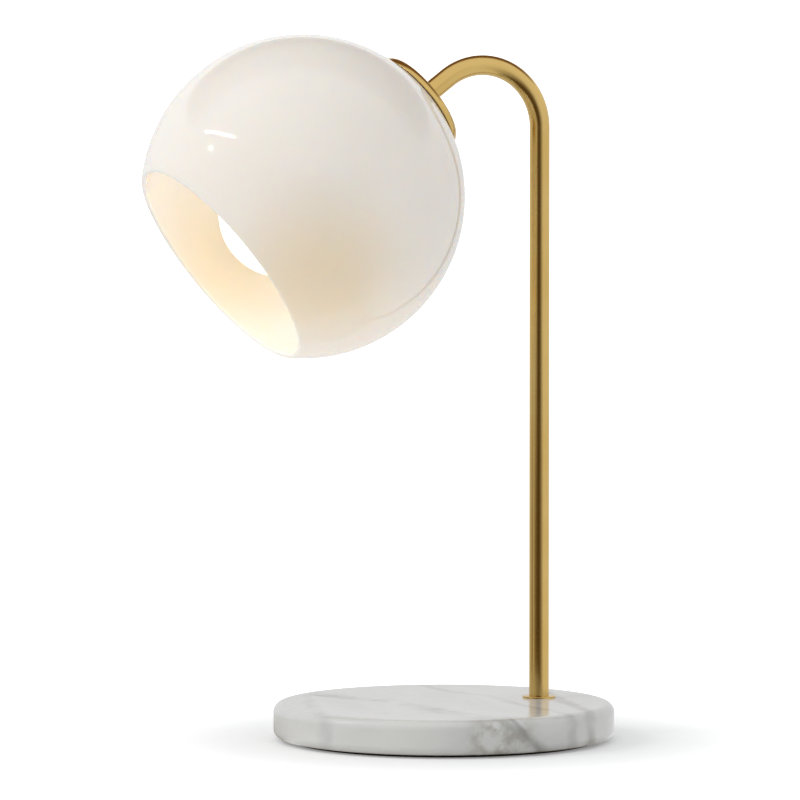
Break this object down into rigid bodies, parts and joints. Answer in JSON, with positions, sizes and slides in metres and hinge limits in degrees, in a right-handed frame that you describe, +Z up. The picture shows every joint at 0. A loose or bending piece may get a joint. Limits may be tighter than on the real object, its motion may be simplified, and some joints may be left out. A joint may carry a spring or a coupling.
{
  "type": "globe table lamp",
  "caption": "Table lamp with an opal glass globe shade, cut open in front, on a bent brass stem over a round marble base, with a globe bulb that unscrews.",
  "frame": {"origin": "on the table, at the centre of the foam pad under the round base", "axes": "+Z up; +X towards the back, where the stem stands; the lamp is symmetric about the XZ plane, and its shade looks towards -X and down"},
  "size_m": [0.3056, 0.216, 0.448],
  "materials": {
    "foam": "matt",
    "marble": "polished, with grey veins",
    "steel": "zinc plated",
    "black_nylon": "matt",
    "natural_nylon": "matt",
    "contact_brass": "plain",
    "satin_brass": "satin, brushed lengthwise",
    "lead_brown": "smooth",
    "lead_blue": "smooth",
    "soft_ring": "matt",
    "opal_glass": "gloss, cased opal",
    "phenolic": "satin",
    "porcelain": "glazed",
    "bulb_diffuser": "satin, lit",
    "bulb_housing": "satin",
    "led_board": "matt",
    "nickel_shell": "plated",
    "black_glass": "gloss",
    "solder": "plain"
  },
  "bodies": {
    "lamp": {"base_pad": "foam", "base_marble": "marble", "base_washer": "steel", "base_lock_washer": "steel", "base_nut": "steel", "cord_bushing": "black_nylon", "terminal_block_body": "natural_nylon", "terminal_block_barrels": "contact_brass", "terminal_block_screws": "steel", "stem_foot_nipple": "steel", "stem_collar": "satin_brass", "stem_tube": "satin_brass", "lead_live": "lead_brown", "lead_neutral": "lead_blue", "shade_cap": "satin_brass", "shade_gasket": "soft_ring", "shade_globe": "opal_glass", "shade_ring": "phenolic", "shade_ring_washer": "soft_ring", "hook_nipple": "steel", "hook_washer": "steel", "hook_nut": "steel", "socket_cap": "phenolic", "socket_skirt": "phenolic", "socket_core": "porcelain", "socket_screw_shell": "contact_brass", "socket_centre_contact": "contact_brass", "socket_terminals": "contact_brass", "socket_terminal_screws": "steel"},
    "bulb_base": {"bulb_screw_cap": "nickel_shell", "bulb_insulator": "black_glass", "bulb_contact": "solder"},
    "bulb": {"bulb_diffuser": "bulb_diffuser", "bulb_housing": "bulb_housing", "bulb_led_board": "led_board"}
  },
  "joints": [
    {"name": "bulb_travel", "type": "slide", "parent": "lamp", "child": "bulb_base", "axis": [-0.8039, 0, -0.5948], "range_m": [0, 0.0128]},
    {"name": "bulb_turn", "type": "hinge", "parent": "bulb_base", "child": "bulb", "pos_m": [-0.09627, 0, 0.34639], "axis": [-0.8039, 0, -0.5948], "range_deg": [0, 1260]}
  ],
  "couplings": [
    {"joint": "bulb_travel", "follows": "bulb_turn", "m_per_rad": 0.00057773}
  ]
}
